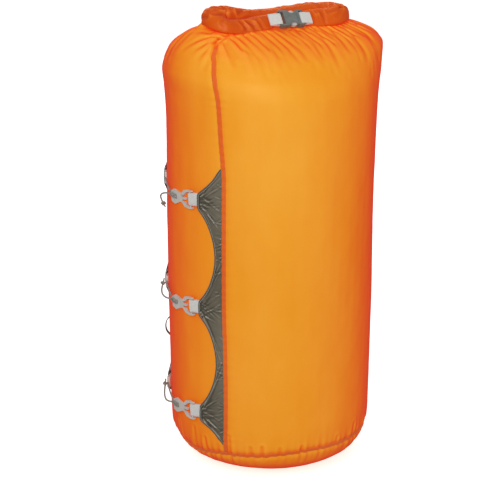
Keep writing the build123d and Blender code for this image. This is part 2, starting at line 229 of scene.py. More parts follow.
def swept(name, points, side, up, section, rounding=0.0):
    """A closed tube: section(k) gives offsets along side and up at point k; rounded ends are drawn in."""
    ahead = unit(np.gradient(points, axis=0))

    def ring(k, inset=1.0, reach=0.0):
        offsets = section(k) * inset
        return points[k] + ahead[k] * reach + offsets[:, :1] * side[k] + offsets[:, 1:] * up[k]

    shares = np.sin(np.linspace(0.12, 1, 4) * math.pi / 2) if rounding else []
    caps = [(math.sqrt(max(0.0, 1 - (1 - share) ** 2)), rounding * (1 - share)) for share in shares]
    head = [ring(0, inset, -reach) for inset, reach in caps]
    tail = [ring(-1, inset, reach) for inset, reach in caps]
    return tube_object(name, np.array(head + [ring(k) for k in range(len(points))] + tail[::-1]))


def cord_tube(name, line, diameter, corners=12):
    """A round cord along a line of points, with rounded ends."""
    side, up = transported(line)
    turn = np.linspace(0, 2 * math.pi, corners, endpoint=False)
    ring = np.stack([np.cos(turn), np.sin(turn)], 1) * diameter / 2
    return swept(name, line, side, up, lambda k: ring, rounding=diameter / 2)


def strip_ring(steps, half, edge):
    """The outline of a strip's section, from steps across half its width and its half thickness at each."""
    return np.concatenate([np.stack([steps * half, edge], 1), np.stack([steps[::-1] * half, -edge[::-1]], 1)])


def squared(across, ahead):
    """The part of a direction that is square to another, at each point."""
    return unit(across - ahead * np.sum(ahead * across, axis=1, keepdims=True))


def strap(name, line, across, width, thick, waist=0.0):
    """Webbing along a line of points: across is its width's direction at each point."""
    ahead = unit(np.gradient(line, axis=0))
    across = squared(np.broadcast_to(across, line.shape), ahead)
    steps = np.linspace(-1, 1, 9)
    ring = strip_ring(steps, width / 2, thick / 2 * np.sqrt(np.clip(1 - np.abs(steps) ** 8, 0.12, 1)))
    distance = along(line)
    middle = distance[-1] / 2

    def section(k):
        narrow = 1 - waist * math.exp(-((distance[k] - middle) / (0.3 * middle + 1e-9)) ** 2)
        return ring * [narrow, 1]
    return swept(name, line, across, np.cross(ahead, across), section)


def strap_loop(name, centre, tail, axis, hole, width, thick, waist=0.04):
    """Webbing from its tail round a bar at centre and back; axis is the bar's direction."""
    centre, tail, axis = np.array(centre), np.array(tail), unit(np.array(axis))
    away = tail - centre
    away = unit(away - axis * (away @ axis))
    reach = (tail - centre) @ away
    out = np.cross(axis, away)
    r = hole + thick / 2
    lap = thick * 0.54
    turn = np.linspace(math.pi / 2, 3 * math.pi / 2, 13)
    bend = [centre + r * (out * math.sin(a) + away * math.cos(a)) for a in turn]
    first, last = ([tail + way * lap, centre + away * reach * 0.62 + way * (lap + 0.35 * (r - lap)),
                    centre + away * reach * 0.3 + way * (lap + 0.85 * (r - lap))] for way in (out, -out))
    line = resampled(np.array(first + bend + last[::-1]), 0.5 * MM)
    return strap(name, line, axis, width, thick, waist)


def dressed(piece, finish, part, body, *replaced):
    """Gives a piece its material, the CAD nodes it replaces and the body it rides on."""
    piece.data.materials.append(finish)
    if replaced:
        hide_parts(*replaced)
    if body:
        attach(piece, body)
    return piece


# ---- materials
def material(name, colour, roughness, **more):
    """A Principled material with its links to hand."""
    made = bpy.data.materials.new(name)
    made.use_nodes = True
    tree = made.node_tree
    shader = tree.nodes["Principled BSDF"]
    for key, value in {"Base_Color": (*colour, 1), "Roughness": roughness, **more}.items():
        shader.inputs[key.replace("_", " ")].default_value = value
    return made, tree, shader


def node(tree, kind, **values):
    """A node with its settings, and its inputs by name."""
    made = tree.nodes.new(kind)
    for key, value in values.items():
        if hasattr(made, key):
            setattr(made, key, value)
        else:
            made.inputs[key.replace("_", " ")].default_value = value
    return made


def noise(tree, scale, detail=3.0, stretch=(1, 1, 1)):
    """Noise over the surface, in cycles for each metre."""
    place = node(tree, "ShaderNodeTexCoord")
    shape = node(tree, "ShaderNodeMapping")
    shape.inputs["Scale"].default_value = stretch
    tree.links.new(place.outputs["Object"], shape.inputs["Vector"])
    found = node(tree, "ShaderNodeTexNoise", Scale=scale, Detail=detail, Roughness=0.55)
    tree.links.new(shape.outputs[0], found.inputs["Vector"])
    return found.outputs["Fac"]


def ramp(tree, value, low, high, dark, light):
    """A colour between dark and light as a value goes from low to high."""
    found = node(tree, "ShaderNodeValToRGB")
    found.color_ramp.elements[0].position = low
    found.color_ramp.elements[0].color = (*dark, 1)
    found.color_ramp.elements[1].position = high
    found.color_ramp.elements[1].color = (*light, 1)
    tree.links.new(value, found.inputs["Fac"])
    return found.outputs["Color"]


def math_node(tree, operation, *values):
    """The result of a sum on numbers and sockets."""
    found = node(tree, "ShaderNodeMath", operation=operation)
    for socket, value in zip(found.inputs, values):
        if isinstance(value, (int, float)):
            socket.default_value = value
        else:
            tree.links.new(value, socket)
    return found.outputs[0]


def cloth_place(tree):
    """The two distances along the cloth, in metres, from its own UV."""
    place = node(tree, "ShaderNodeUVMap", uv_map="cloth")
    split = node(tree, "ShaderNodeSeparateXYZ")
    tree.links.new(place.outputs[0], split.inputs[0])
    return split.outputs["X"], split.outputs["Y"]


def sine(tree, distance, cycles):
    """A wave with so many cycles for each unit of a distance."""
    return math_node(tree, "SINE", math_node(tree, "MULTIPLY", distance, cycles * 2 * math.pi))


def weave(tree, threads):
    """Height of a plain weave, with so many threads for each metre."""
    return math_node(tree, "MULTIPLY", *(sine(tree, distance, threads) for distance in cloth_place(tree)))


def bumped(tree, shader, layers):
    """Bump from (height, strength, distance) layers, one on another."""
    normal = None
    for height, strength, distance in layers:
        found = node(tree, "ShaderNodeBump", Strength=strength, Distance=distance)
        tree.links.new(height, found.inputs["Height"])
        if normal is not None:
            tree.links.new(normal, found.inputs["Normal"])
        normal = found.outputs[0]
    tree.links.new(normal, shader.inputs["Normal"])


def coated_fabric(name, dark, light, roughness, dye=None, painted_glow=None, threads=1400, crinkle=0.25,
                  painted_valley_shade=None, painted_crest_highlight=None):
    """Thin coated nylon: fine weave and soft crinkles under a dyed coat that deepens when seen aslant, with a
    painted red glow, painted shade in the fold valleys and a painted highlight on the fold crests.
    """
    more = {"Sheen_Weight": 0.06, "Sheen_Roughness": 0.5, "Specular_IOR_Level": 0.4}
    if dye:
        more.update(Coat_Weight=1.0, Coat_Roughness=0.5, Coat_IOR=1.03, Coat_Tint=(*dye, 1))
    # painted glow: a red emission standing in for light shining through the thin fabric
    if painted_glow:
        more.update(Emission_Color=(*painted_glow, 1), Emission_Strength=1.0)
    made, tree, shader = material(name, light, roughness, **more)
    plain = ramp(tree, noise(tree, 9, 4, (1, 1, 0.45)), 0.3, 0.72, dark, light)
    folded = node(tree, "ShaderNodeAttribute", attribute_name="fold").outputs["Fac"]
    # painted shade mixed into the fold valleys and a painted highlight onto the fold crests, by fold height
    for full, colour in ((0.0, painted_valley_shade), (1.0, painted_crest_highlight)):
        if colour:
            reach = node(tree, "ShaderNodeMapRange", interpolation_type="SMOOTHSTEP")
            reach.inputs["From Min"].default_value, reach.inputs["From Max"].default_value = 0.5, full
            tree.links.new(folded, reach.inputs["Value"])
            mixed = node(tree, "ShaderNodeMix", data_type="RGBA")
            tree.links.new(reach.outputs["Result"], mixed.inputs["Factor"])
            tree.links.new(plain, mixed.inputs[6])
            mixed.inputs[7].default_value = (*colour, 1)
            plain = mixed.outputs[2]
    tree.links.new(plain, shader.inputs["Base Color"])
    gloss = math_node(tree, "MULTIPLY_ADD", noise(tree, 60, 3), 0.12, roughness - 0.06)
    tree.links.new(gloss, shader.inputs["Roughness"])
    bumped(tree, shader, [
        (noise(tree, 26, 4, (1, 1, 0.55)), crinkle, 0.004),
        (noise(tree, 150, 3), crinkle * 0.6, 0.0008),
        (weave(tree, threads), 0.18, 0.00012),
    ])
    return made


def webbing_material(name, dark, light, pitch=560, roughness=0.8):
    """Woven webbing: ribs across it, and threads of slightly different shades."""
    made, tree, shader = material(name, light, roughness, Sheen_Weight=0.25, Sheen_Roughness=0.5)
    threads = weave(tree, pitch)
    mixed = math_node(tree, "MULTIPLY_ADD", threads, 0.22, 0.28)
    total = math_node(tree, "ADD", mixed, math_node(tree, "MULTIPLY", noise(tree, 900, 3), 0.5))
    tree.links.new(ramp(tree, total, 0.25, 0.78, dark, light), shader.inputs["Base Color"])
    bumped(tree, shader, [(threads, 0.6, 0.0004), (noise(tree, 1500, 2), 0.3, 0.0002)])
    return made


def plastic_material(name, dark, light, roughness):
    """Moulded plastic: a fine spark texture and uneven gloss."""
    made, tree, shader = material(name, light, roughness)
    tree.links.new(ramp(tree, noise(tree, 120, 5), 0.3, 0.7, dark, light), shader.inputs["Base Color"])
    gloss = math_node(tree, "MULTIPLY_ADD", noise(tree, 300, 4), 0.25, roughness - 0.12)
    tree.links.new(gloss, shader.inputs["Roughness"])
    bumped(tree, shader, [(noise(tree, 2600, 2), 0.25, 0.0001), (noise(tree, 160, 2), 0.12, 0.0005)])
    return made


def cord_material(name, dark, light):
    """Braided cord: strands crossing round it, with darker flecks."""
    made, tree, shader = material(name, light, 0.75, Sheen_Weight=0.3, Sheen_Roughness=0.5)
    x, y = cloth_place(tree)
    turns = math_node(tree, "MULTIPLY", x, 1020.0)
    strands = [sine(tree, math_node(tree, "MULTIPLY_ADD", y, way * 760.0, turns), 1) for way in (1, -1)]
    braid = math_node(tree, "MAXIMUM", *strands)
    flecks = math_node(tree, "ADD", math_node(tree, "MULTIPLY", noise(tree, 700, 2), 0.9),
                       math_node(tree, "MULTIPLY", braid, 0.16))
    tree.links.new(ramp(tree, flecks, 0.3, 0.62, dark, light), shader.inputs["Base Color"])
    bumped(tree, shader, [(braid, 0.7, 0.0004)])
    return made


# orange nylon: a painted red glow, painted shade in the fold valleys and a painted highlight on the fold
# crests
ORANGE = coated_fabric("orange_nylon", (0.63, 0.78, 0.06), (0.69, 0.92, 0.15), 0.38, (1.0, 0.53, 0.30),
                       (0.33, 0.0, 0.0), painted_valley_shade=(0.60, 0.19, 0.015), painted_crest_highlight=(0.92, 0.98, 0.32))
# rolled nylon: a painted red glow, painted shade in the fold valleys and a painted highlight on the fold
# crests
ROLL_ORANGE = coated_fabric("orange_nylon_rolled", (0.56, 0.10, 0.003), (0.72, 0.185, 0.012), 0.36,
                            (1.0, 0.72, 0.4), (0.10, 0.0, 0.0), crinkle=0.3,
                            painted_valley_shade=(0.40, 0.05, 0.004), painted_crest_highlight=(0.85, 0.36, 0.08))
# seam tape: its last colour is a painted red glow standing in for light through the fabric
TAPE = coated_fabric("seam_tape", (0.72, 0.125, 0.0), (0.82, 0.17, 0.004), 0.55, None, (0.14, 0.0, 0.0), 900)
# flap nylon: its last two colours are painted shade in the fold valleys and a painted highlight on the fold
# crests
FLAP = coated_fabric("flap_nylon", (0.115, 0.095, 0.062), (0.235, 0.205, 0.15), 0.26, None, None, 900, 0.9,
                     (0.07, 0.062, 0.042), (0.36, 0.33, 0.26))
BINDING = webbing_material("flap_binding", (0.05, 0.055, 0.045), (0.12, 0.12, 0.095), 900)
PIPING = webbing_material("flap_edge_thread", (0.3, 0.29, 0.24), (0.5, 0.48, 0.4), 900, 0.6)
WEBBING = webbing_material("grey_webbing", (0.68, 0.66, 0.62), (0.94, 0.92, 0.88))
DARK_WEBBING = webbing_material("dark_webbing", (0.05, 0.05, 0.04), (0.16, 0.15, 0.13))
HOOK = plastic_material("hook_plastic", (0.60, 0.56, 0.51), (0.74, 0.70, 0.64), 0.36)
BUCKLE = plastic_material("buckle_plastic", (0.14, 0.155, 0.145), (0.20, 0.215, 0.20), 0.4)
PRONG = plastic_material("prong_plastic", (0.5, 0.49, 0.46), (0.66, 0.65, 0.62), 0.4)
CORD_CLOTH = cord_material("grey_cord", (0.15, 0.13, 0.105), (0.46, 0.41, 0.35))
THREAD = webbing_material("seam_thread", (0.66, 0.12, 0.02), (0.85, 0.3, 0.08), 2000)

# ---- camera
CAMERA_TURN, CAMERA_RISE, CAMERA_REACH = math.radians(-22), math.radians(18), 3.2
AIM = Vector((-0.0278, 0.0112, 0.3182))
SENSOR, FIELD = 36, math.radians(13.4)
level = math.cos(CAMERA_RISE)
back = Vector((math.sin(CAMERA_TURN) * level, -math.cos(CAMERA_TURN) * level, math.sin(CAMERA_RISE)))
camera = linked("camera", bpy.data.cameras.new("camera"))
camera.location = AIM + back * CAMERA_REACH
camera.rotation_euler = (-back).to_track_quat("-Z", "Y").to_euler()
camera.data.lens = SENSOR / (2 * math.tan(FIELD / 2))
camera.data.sensor_width = SENSOR
bpy.context.scene.camera = camera


# ---- places shared with the CAD
def around(angle, radius, height):
    """A point at an angle from -X towards -Y, degrees and metres."""
    turn = math.radians(angle)
    return np.array([-radius * math.cos(turn), -radius * math.sin(turn), height])


HOOK_ANGLE, HOOK_RADIUS, HOOK_TILT, CROSSBAR = 11.5, 154.8 * MM, math.radians(7), 24 * MM
HOOK_OUT = around(HOOK_ANGLE, 1, 0)
HOOK_ALONG = np.cross(UP, HOOK_OUT) * math.cos(HOOK_TILT) + UP * math.sin(HOOK_TILT)
HOOK_ACROSS = np.cross(HOOK_OUT, HOOK_ALONG)


def on_hook(name, x, y, z):
    """A point in a hook's own directions, in millimetres from its middle."""
    centre = around(HOOK_ANGLE, HOOK_RADIUS, TAB_HEIGHTS[name] - CROSSBAR * math.sin(HOOK_TILT))
    return centre + MM * (x * HOOK_ALONG + y * HOOK_ACROSS + z * HOOK_OUT)


# ---- compression cords
# angle from -X, radius from the axis and height above the tab, as the CAD routes them
STANDING_ROUTE = [
    (-2.4, 156.8, -1.4), (-7.6, 155.2, -0.6), (-13.2, 154.7, 0.2), (-18.6, 155.0, 0.5), (-23.2, 155.9, 0.3),
]
TAIL_ROUTES = {
    "upper": [
        (-2.3, 159.2, -6.2), (-6.0, 161.6, -8.6), (-9.6, 163.8, -12.4), (-12.2, 164.6, -17.6),
        (-12.6, 163.6, -23.4), (-11.2, 161.2, -28.6),
    ],
    "middle": [
        (-2.2, 159.4, -6.8), (-6.2, 161.8, -8.4), (-10.2, 163.6, -8.8), (-13.8, 164.4, -6.4),
        (-16.2, 163.4, -2.2), (-17.4, 161.4, 3.0),
    ],
    "lower": [
        (-2.2, 159.0, -7.6), (-6.0, 160.4, -10.6), (-10.0, 161.4, -12.6), (-13.8, 161.8, -10.8),
        (-16.6, 161.4, -6.6), (-17.8, 160.6, -1.2), (-17.6, 160.0, 4.6),
    ],
}
WING_END = -26.8  # along the hook, where both cords leave it
STANDING_LENGTH = 67.3 * MM
TAIL_LENGTHS = {"upper": 54.7 * MM, "middle": 59.2 * MM, "lower": 65.3 * MM}
# the cords cross a hook's wing and go down through its slot: points in the hook's directions, millimetres
LACINGS = {
    "standing": [(-29.0, 4.9, 0.6), (-27.6, 4.6, 2.3), (-25.0, 4.1, 3.1), (-20.0, 3.2, 3.0),
                 (-15.4, 2.3, 2.9), (-13.1, 2.0, 2.1), (-12.5, 1.9, 0.2)],
    "tail": [(-29.0, 0.2, 0.4), (-27.8, 0.0, 2.1), (-25.2, -0.5, 3.0), (-20.0, -1.4, 3.0),
             (-15.4, -1.9, 2.9), (-13.1, -1.9, 2.1), (-12.5, -1.8, 0.2)],
}


def knot(name, centre, towards):
    """An overhand knot pulled tight round the end of a cord, with a short frayed end."""
    turn = np.linspace(0, 2 * math.pi, 72, endpoint=False)
    size = 1.2 * MM
    shape = np.stack([np.sin(turn) + 2 * np.sin(2 * turn), np.cos(turn) - 2 * np.cos(2 * turn),
                      -1.25 * np.sin(3 * turn)], 1) * size * [0.8, 0.8, 1]
    forward = unit(towards)
    side = unit(np.cross(forward, UP + 0.3 * HOOK_OUT))
    spun = shape[:, :1] * side + shape[:, 1:2] * np.cross(side, forward) + shape[:, 2:] * forward
    loop = cord_tube(name, np.vstack([spun, spun[:1]]) + centre, CORD_DIAMETER * 0.94, 10)
    ending = centre + np.outer(np.linspace(0, 1, 6), forward * 6.2 * MM + UP * 0.8 * MM)
    return joined(name, [loop, cord_tube(name + "_end", ending, CORD_DIAMETER * 0.9, 10)])


for name, height in TAB_HEIGHTS.items():
    body = name + "_hook"
    routes = {
        "cord_" + name: ("compression_cord_", 4.6, STANDING_ROUTE, STANDING_LENGTH),
        "cord_tail_" + name: ("cord_end_", 0.4, TAIL_ROUTES[name], TAIL_LENGTHS[name]),
    }
    for label, (title, start_height, route, length) in routes.items():
        points = [on_hook(name, WING_END, start_height, 0)]
        points += [around(angle, radius * MM, height + rise * MM) for angle, radius, rise in route]
        line = spline_points(label, points)
        tube = dressed(cord_tube(title + name, line, CORD_DIAMETER), CORD_CLOTH, "cord", None, label)
        pieces_on_it = []
        if label.startswith("cord_tail"):
            leaving = line[-1] - line[-6]
            end = knot("tail_knot_" + name, line[-1] + 0.6 * MM * unit(leaving), leaving)
            pieces_on_it = [dressed(end, CORD_CLOTH, "cord", body, "knot_" + name)]
            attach(tube, body)
        else:
            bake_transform(tube)
    for label, lacing in LACINGS.items():
        line = spline_points("lacing", [on_hook(name, *p) for p in lacing])
        laid = cord_tube("lacing_" + label + "_" + name, line, CORD_DIAMETER * 0.96)
        dressed(laid, CORD_CLOTH, "cord", body)

# ---- the skin of the sack
profile = np.array(PROFILE, float) * MM
profile_rise = np.hypot(*np.diff(profile[:, :2], axis=0).T) / math.sqrt(2)
profile_run = np.concatenate([[0], np.cumsum(np.hypot(profile_rise, np.diff(profile[:, 2])))])
fine_run = np.linspace(0, profile_run[-1], 4000)
fine_height = np.maximum.accumulate(monotone(fine_run, profile_run, profile[:, 2]))


def base_point(phi, run):
    """The smooth skin at an angle from -Y towards -X (degrees) and a distance up the profile."""
    half_x, half_y, height, middle = (monotone(run, profile_run, profile[:, k]) for k in range(4))
    turn = np.radians(phi)
    return np.stack(np.broadcast_arrays(middle - half_x * np.sin(turn), -half_y * np.cos(turn), height), -1)


def run_at(height):
    """How far up the profile a height is."""
    return np.interp(height, fine_height, fine_run)


def base_normal(phi, run):
    """The outward direction square to the smooth skin."""
    step = 0.4 * MM
    run = np.clip(run, 2 * step, profile_run[-1] - 2 * step)
    up = base_point(phi, run + step) - base_point(phi, run - step)
    turn = base_point(np.asarray(phi) + 0.2, run) - base_point(np.asarray(phi) - 0.2, run)
    return unit(np.cross(up, turn))


def surface(points):
    """(angle, height in millimetres) pairs as points on the smooth skin."""
    points = np.array(points, float)
    return base_point(points[:, 0], run_at(points[:, 1] * MM))


# creases drawn on the skin: (angle from -Y towards -X, height in mm) from the strong end, depth mm, width mm
CREASES = [
    ([(44.5, 658), (60.5, 663), (77, 664)], 1.4, 2.2), ([(44.5, 658), (62.8, 659), (71.5, 653)], 1.7, 2.4),
    ([(46, 658), (59.3, 651), (67, 643)], 1.7, 2.2), ([(49, 657), (57.2, 644), (64, 631)], 1.6, 2.4),
    ([(47, 657), (53, 641), (58, 618)], 1.5, 2.2), ([(52, 660), (66, 655), (79, 640)], 1.4, 2.2),
    ([(41.5, 661), (50, 658), (50.6, 646), (51.2, 631)], 3.6, 3.2), ([(45.2, 656), (38.5, 628)], 2.8, 2.6),
    ([(43, 658), (37.2, 637)], 3.0, 2.8), ([(40.2, 659), (29.2, 643), (25.8, 619)], 2.4, 2.6),
    ([(32.5, 659), (24.5, 637), (22, 613)], 2.2, 2.4), ([(27.2, 660), (17.5, 619)], 1.8, 2.2),
    ([(21.5, 661), (13, 636)], 1.7, 2.2), ([(9, 662), (6, 634)], 1.2, 2.2),
    ([(-5.8, 663), (0, 632)], 1.6, 2.2), ([(-11, 662), (-3.7, 622)], 1.8, 2.3),
    ([(-18, 663), (-8.5, 632)], 1.6, 2.2),
    ([(-24.8, 662), (-16.5, 636), (-17.5, 620)], 2.0, 2.4), ([(-36, 660), (-27, 634)], 1.7, 2.3),
    ([(-46.8, 656), (-38.8, 635), (-40.2, 618)], 2.2, 2.6), ([(-63.2, 655), (-72.8, 625)], 1.8, 2.8),
    ([(33.5, 58), (33.5, 42), (34.5, 26)], 1.1, 2.2), ([(26.8, 60), (26.8, 42), (26, 33)], 1.5, 2.2),
    ([(16.5, 57), (16.5, 42), (17, 28)], 0.9, 2.2), ([(3.7, 58), (3.7, 42), (3, 30)], 1.1, 2.2),
    ([(-20, 62), (-20, 42), (-21, 28)], 1.0, 2.2),
]
shuffle = random.Random(41)
for angle in np.arange(-66, 48, 5.4):
    start = angle + shuffle.uniform(-2.7, 2.7)
    drift = -0.16 * start - 4.5 + shuffle.uniform(-1.5, 1.5)
    low = shuffle.uniform(596, 634)
    CREASES.append(([(start, 662), (start + drift * 0.55, 648), (start + drift, low)],
                    shuffle.uniform(0.5, 1.9), shuffle.uniform(1.4, 2.2)))
for angle in list(range(84, 284, 9)) + [-80, -55]:
    start = angle + shuffle.uniform(-3, 3)
    lean = shuffle.uniform(-9, 9)
    CREASES.append(([(start, 661), (start + lean * 0.4, 645), (start + lean, shuffle.uniform(606, 634))],
                    shuffle.uniform(1.6, 4.0), shuffle.uniform(3.2, 4.6)))
for angle in range(48, 330, 13):
    start = angle + shuffle.uniform(-4, 4)
    CREASES.append(([(start, shuffle.uniform(56, 76)), (start, 42), (start + shuffle.uniform(-2, 2), 24)],
                    shuffle.uniform(0.5, 1.3), shuffle.uniform(2.0, 3.0)))
crease_lines = [(surface(points), depth * MM, width * MM) for points, depth, width in CREASES]

# angle from -Y towards -X and height in mm of the seam round the base
BASE_SEAM = {-180: 42, -110: 42, -60: 50, -33: 48, -2: 50, 27: 44, 54: 40, 74: 33, 100: 38, 180: 42}


def base_seam_height(phi):
    """The seam round the base isn't quite level."""
    wrapped = (np.asarray(phi, float) + 180) % 360 - 180
    return monotone(wrapped, list(BASE_SEAM), list(BASE_SEAM.values())) * MM


# height in mm and angle of the side seams, from -Y towards -X
SEAMS = {
    "front": [(0, 49), (45, 48.4), (130, 47.9), (300, 48.7), (400, 48.4), (466, 47.9), (538, 49.8),
              (600, 50.2), (640, 51.4), (652, 49.4), (661, 41.5), (670, 38)],
    "rear": [(0, 131), (70, 131.4), (300, 130.8), (500, 131), (600, 132.5), (660, 135.5)],
}


def seam_phi(side, height):
    """The angle, from -Y towards -X, of a side seam at a height."""
    heights, angles = zip(*SEAMS[side])
    return monotone(np.asarray(height) / MM, heights, angles)


def distance_to(points, line):
    """How far points are from a line of points, and how far along it, from 0 to 1."""
    nearest = np.full(points.shape[:-1], 1e9)
    share = np.zeros(points.shape[:-1])
    done = along(line)
    for k in range(len(line) - 1):
        run = line[k + 1] - line[k]
        t = np.clip((points - line[k]) @ run / (run @ run), 0, 1)
        gap = np.linalg.norm(points - line[k] - t[..., None] * run, axis=-1)
        closer = gap < nearest
        nearest = np.where(closer, gap, nearest)
        share = np.where(closer, (done[k] + t * (done[k + 1] - done[k])) / done[-1], share)
    return nearest, share


CREST_LIMIT, VALLEY_LIMIT = 1.1 * MM, 3.2 * MM  # the most that creases lift and sink the cloth


def creased(place):
    """How far the creases alone move the cloth at places on the smooth skin, in metres."""
    total = np.zeros(place.shape[:-1])
    for line, depth, width in crease_lines:
        low, high = line.min(0) - 6 * width, line.max(0) + 6 * width
        near = np.all((place > low) & (place < high), axis=-1)
        if not near.any():
            continue
        gap, share = distance_to(place[near], line)
        fade = (1 - share) ** 0.6 * smooth(share, -0.25, 0.12)
        spread = width * (1 + 0.7 * share)
        fold = -np.exp(-(gap / spread) ** 2) + 0.62 * np.exp(-((gap - 2.1 * spread) / (1.1 * spread)) ** 2)
        total[near] += depth * fade * fold
    limit = np.where(total > 0, CREST_LIMIT, VALLEY_LIMIT)
    return limit * np.tanh(total / limit)


SWELL, DIMPLE = 1.1 * MM, 0.35 * MM  # slow and quick unevenness of the filled cloth
HOOK_PRESS, HOOK_MIDDLE, HOOK_SPREAD, HOOK_RISE = 1.4 * MM, 71, 6.5, 17 * MM  # metres and degrees
BASE_SINK, PUCKER, SEAM_SINK, RIPPLE = 2.4 * MM, 0.9 * MM, 1.3 * MM, 0.34 * MM


def relief(phi, run):
    """How far the cloth stands out of the smooth skin, in metres."""
    phi, run = np.broadcast_arrays(np.asarray(phi, float), np.asarray(run, float))
    place = base_point(phi, run)
    height = place[..., 2]
    turn = np.radians(phi)
    total = SWELL * waves(place * [1, 1, 0.55], 0.17, 3, 3) + DIMPLE * waves(place * [1, 1, 0.5], 0.045, 5, 3)
    total += creased(place)
    for tab in TAB_HEIGHTS.values():
        # the cloth gives a little under each hook
        away = ((HOOK_MIDDLE - phi) / HOOK_SPREAD) ** 2 + ((height - tab) / HOOK_RISE) ** 2
        total -= HOOK_PRESS * np.exp(-away)
    gap = height - base_seam_height(phi)
    total -= BASE_SINK * np.exp(-(gap / (5 * MM)) ** 2)
    pucker = np.sin(turn * 61 + 2.2 * np.sin(turn * 7)) * np.sin(turn * 17 + 1)
    total += PUCKER * pucker * np.exp(-(gap / (17 * MM)) ** 2)
    above = smooth(height, 20 * MM, 50 * MM)
    ripple = np.sin(height * 2 * math.pi / (13 * MM) + 1.5 * np.sin(height * 2 * math.pi / (71 * MM)))
    for side in ("front", "rear"):
        off = np.radians((phi - seam_phi(side, height) + 180) % 360 - 180) * RADIUS
        total -= above * SEAM_SINK * np.exp(-(off / (6 * MM)) ** 2)
        total += above * RIPPLE * ripple * np.exp(-(np.abs(off) / (13 * MM)) ** 1.5)
    return total * smooth(run, 40 * MM, 90 * MM) * (1 - smooth(height, 664 * MM, 672 * MM))


def skin(phi, height, lift):
    """A point on the cloth at an angle and a height, lifted off it."""
    run = run_at(height)
    return base_point(phi, run) + base_normal(phi, run) * (relief(phi, run) + lift)[..., None]


row_ends = [3 * MM, run_at(12 * MM), run_at(78 * MM), run_at(570 * MM), profile_run[-1]]
rows = np.concatenate([np.linspace(low, high, count)[:-1] for low, high, count in
                       zip(row_ends, row_ends[1:], (24, 46, 120, 170))] + [row_ends[-1:]])
COLUMNS = 720
run_grid, phi_grid = np.meshgrid(rows, np.linspace(-180, 180, COLUMNS, endpoint=False), indexing="ij")
plain_skin = base_point(phi_grid, run_grid)
grid = plain_skin + base_normal(phi_grid, run_grid) * relief(phi_grid, run_grid)[..., None]
grid[..., 2] = np.maximum(grid[..., 2], 0.0)
girth = np.radians(np.linspace(-180, 180, COLUMNS + 1)) * RADIUS
sack = tube_object("bag_body", grid, np.stack(np.meshgrid(rows, girth, indexing="ij")[::-1], -1))
# fold heights for the painted shade and painted highlight in the cloth's colour
paint_folds(sack, creased(plain_skin).ravel(), 3.0 * MM)
dressed(sack, ORANGE, "shell_fabric", "bag", "main_panel", "side_panel", "base_panel")


# ---- seam tapes and their stitches
def ribbon(name, centre, across, width, thick):
    """A flat strip lying on the skin: centre is a line, across its width's direction."""
    steps = np.linspace(-1, 1, 7)
    ring = strip_ring(steps, width / 2, thick / 2 * np.where(np.abs(steps) > 0.99, 0.25, 1.0))
    ahead = unit(np.gradient(centre, axis=0))
    across = squared(across, ahead)
    return swept(name, centre, across, np.cross(ahead, across), lambda k: ring)


STITCH, THREAD_RADIUS = 3.4 * MM, 0.32 * MM
# along a stitch in stitch lengths, and how far the thread is sunk there in its radii
STITCH_SHAPE = ((-0.36, 1.2), (-0.22, 0.0), (0.22, 0.0), (0.36, 1.2))


def stitches(name, centre, across, out, offset):
    """A row of thread stitches beside a line."""
    distance = along(centre)
    points, faces = [], []
    turn = np.linspace(0, 2 * math.pi, 6, endpoint=False)
    for k in range(1, int(distance[-1] / STITCH)):
        first = len(points)
        for reach, sink in STITCH_SHAPE:
            at = (k + reach) * STITCH
            i = min(len(centre) - 1, int(np.searchsorted(distance, at)))
            place = np.array([np.interp(at, distance, centre[:, j]) for j in range(3)]) + across[i] * offset
            for a in turn:
                up = THREAD_RADIUS * math.sin(a) - THREAD_RADIUS * sink
                points.append(place + across[i] * THREAD_RADIUS * math.cos(a) + out[i] * up)
        for low in (first, first + 6, first + 12):
            for i in range(6):
                after = (i + 1) % 6
                faces.append((low + i, low + after, low + 6 + after, low + 6 + i))
        faces.append(tuple(range(first + 5, first - 1, -1)))
        faces.append(tuple(range(first + 18, first + 24)))
    return make_object(name, points, faces)


def sewn_tape(name, replaced, phi, heights, lift, width, thick, thread_lift, beside):
    """A tape over a seam, with a row of stitches along each of its sides."""
    centre = skin(phi, heights, lift * MM)
    normal = base_normal(phi, run_at(heights))
    across = unit(np.cross(unit(np.gradient(centre, axis=0)), normal))
    dressed(ribbon(name, centre, across, width * MM, thick * MM), TAPE, "seam_tape", "bag", replaced)
    sewn = [stitches("s", centre + normal * thread_lift * MM, across, normal, offset * MM)
            for offset in (-beside, beside)]
    dressed(joined(name + "_stitches", sewn), THREAD, "seam_tape", "bag")


for side, top in (("front", 650), ("rear", 638)):
    heights = np.linspace(46.5 * MM, top * MM, 320)
    sewn_tape(side + "_side_seam", side + "_seam_tape", seam_phi(side, heights), heights,
              0.55, 7, 0.7, 0.45, 2.4)
phi = np.linspace(-180, 180, 420)
sewn_tape("base_seam", "base_seam_tape", phi, base_seam_height(phi), 0.6, 6, 0.8, 0.5, 2.0)

# ---- side flaps
HALF_TAB = WEBBING_WIDTH / 2
FLAP_LIFT, TAB_LIFT, TAB_REACH = 0.7 * MM, 4.6 * MM, 12 * MM


